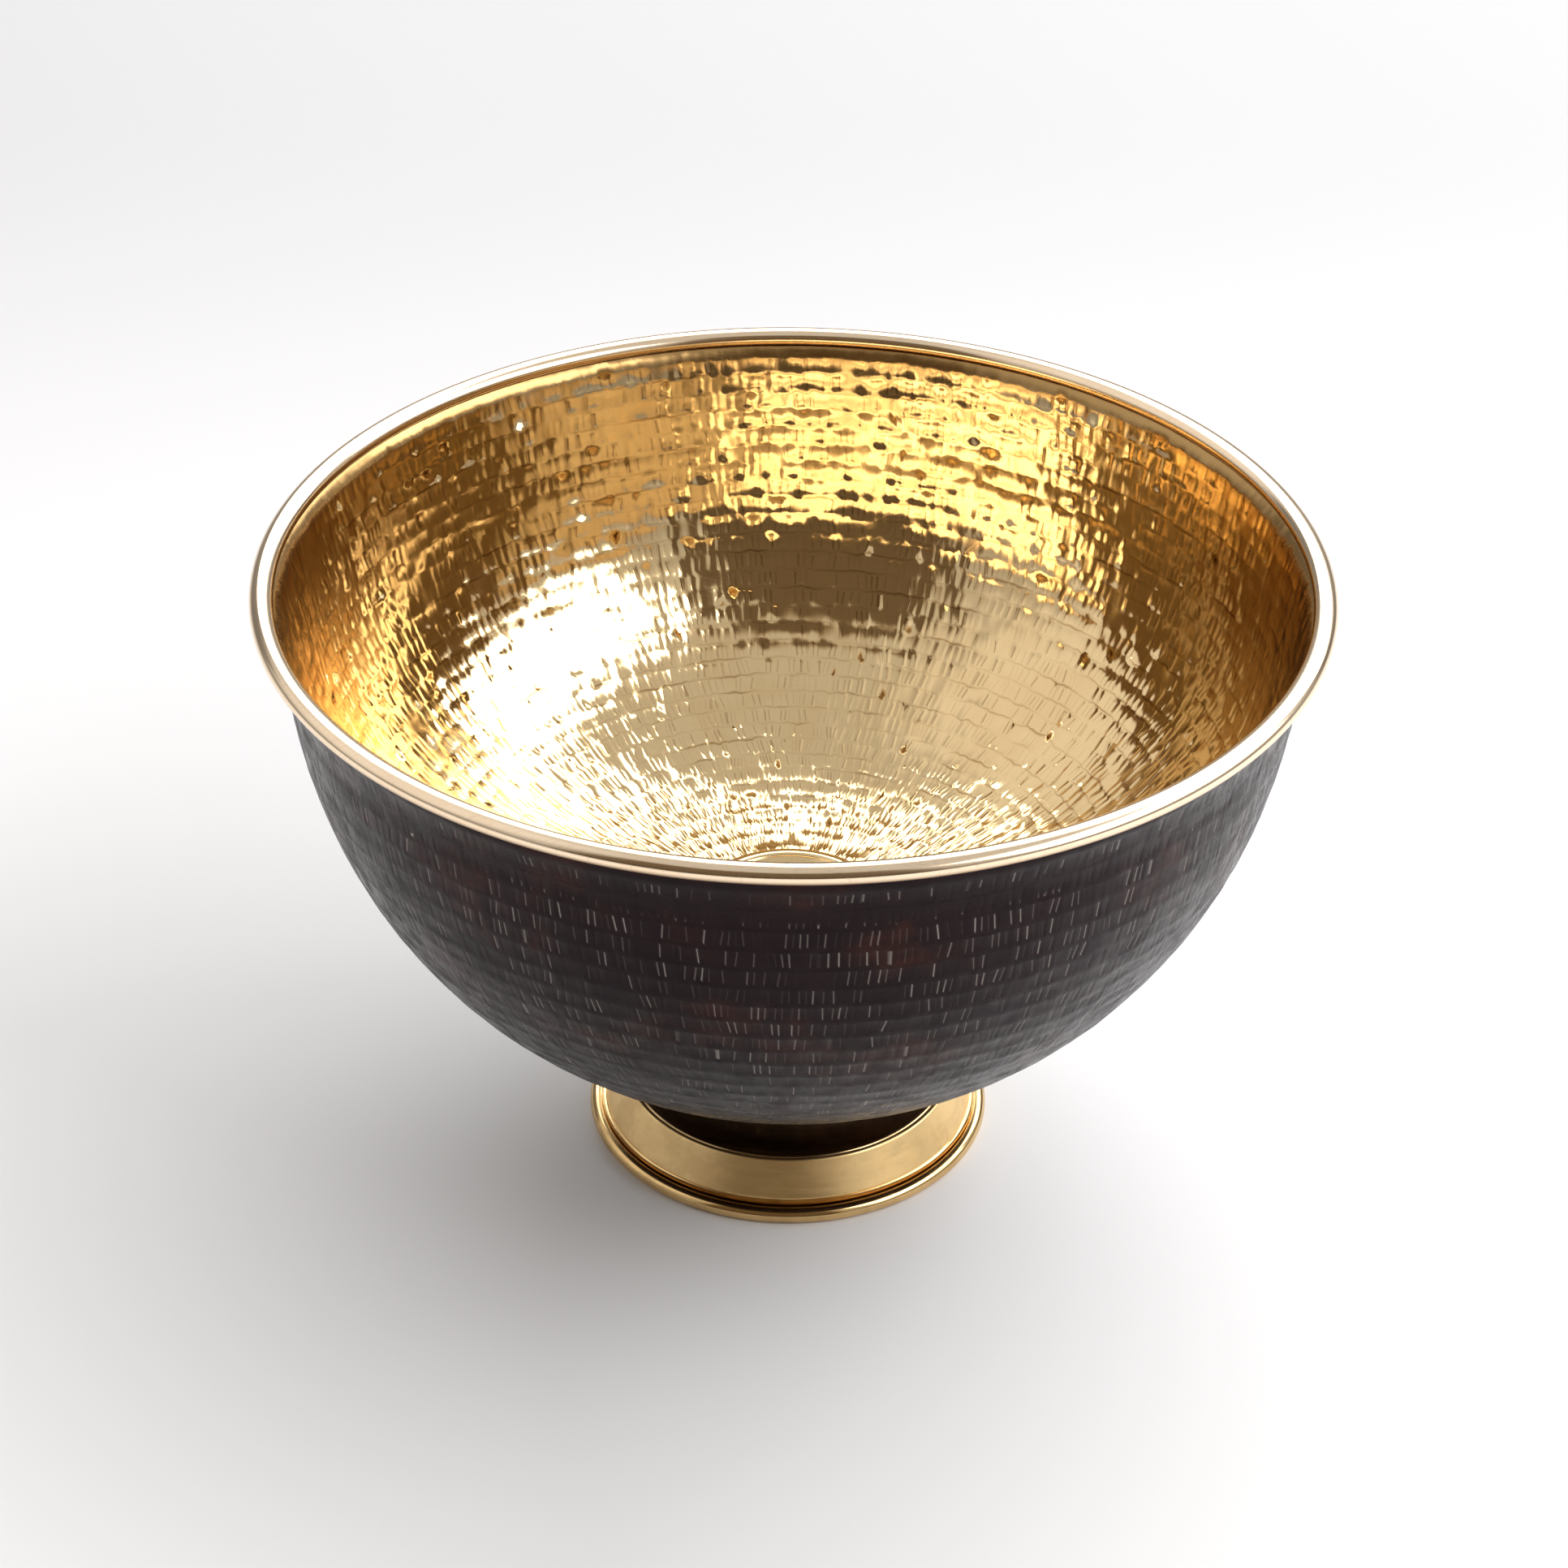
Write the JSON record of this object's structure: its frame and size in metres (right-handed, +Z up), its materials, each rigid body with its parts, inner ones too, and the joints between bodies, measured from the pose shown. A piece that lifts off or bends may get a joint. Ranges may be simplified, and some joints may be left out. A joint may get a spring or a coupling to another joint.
{
  "type": "footed bowl",
  "caption": "Hammered double-walled footed bowl with a dark patinated shell, a bright brass liner, a rolled rim and a stepped pedestal foot.",
  "frame": {"origin": "on the ground at the middle of the foot", "axes": "+Z up along the bowl's axis of symmetry, X and Y free because the bowl is round"},
  "size_m": [0.4, 0.4, 0.247],
  "materials": {
    "patinated_copper": "hammered copper with a dark purple-brown patina and a satin sheen",
    "polished_brass": "hammered and polished yellow brass",
    "rim_brass": "polished rose-gold brass with fine scratches",
    "satin_brass": "satin brass with turning marks and stains",
    "dark_brass": "darkened brass, semi-gloss",
    "zinc_steel": "plated steel",
    "fibre": "matt red fibre"
  },
  "bodies": {
    "root": {"outer_shell": "patinated_copper", "inner_liner": "polished_brass", "rim_binding": "rim_brass", "rim_wire": "zinc_steel", "centre_boss": "polished_brass", "seal_washer": "fibre", "fixing_stud": "zinc_steel", "spacer_tube": "zinc_steel", "foot_neck": "dark_brass", "foot_band": "satin_brass", "foot_base_ring": "satin_brass", "foot_wire": "zinc_steel", "spread_washer": "zinc_steel", "lock_washer": "zinc_steel", "fixing_nut": "zinc_steel"}
  },
  "joints": []
}
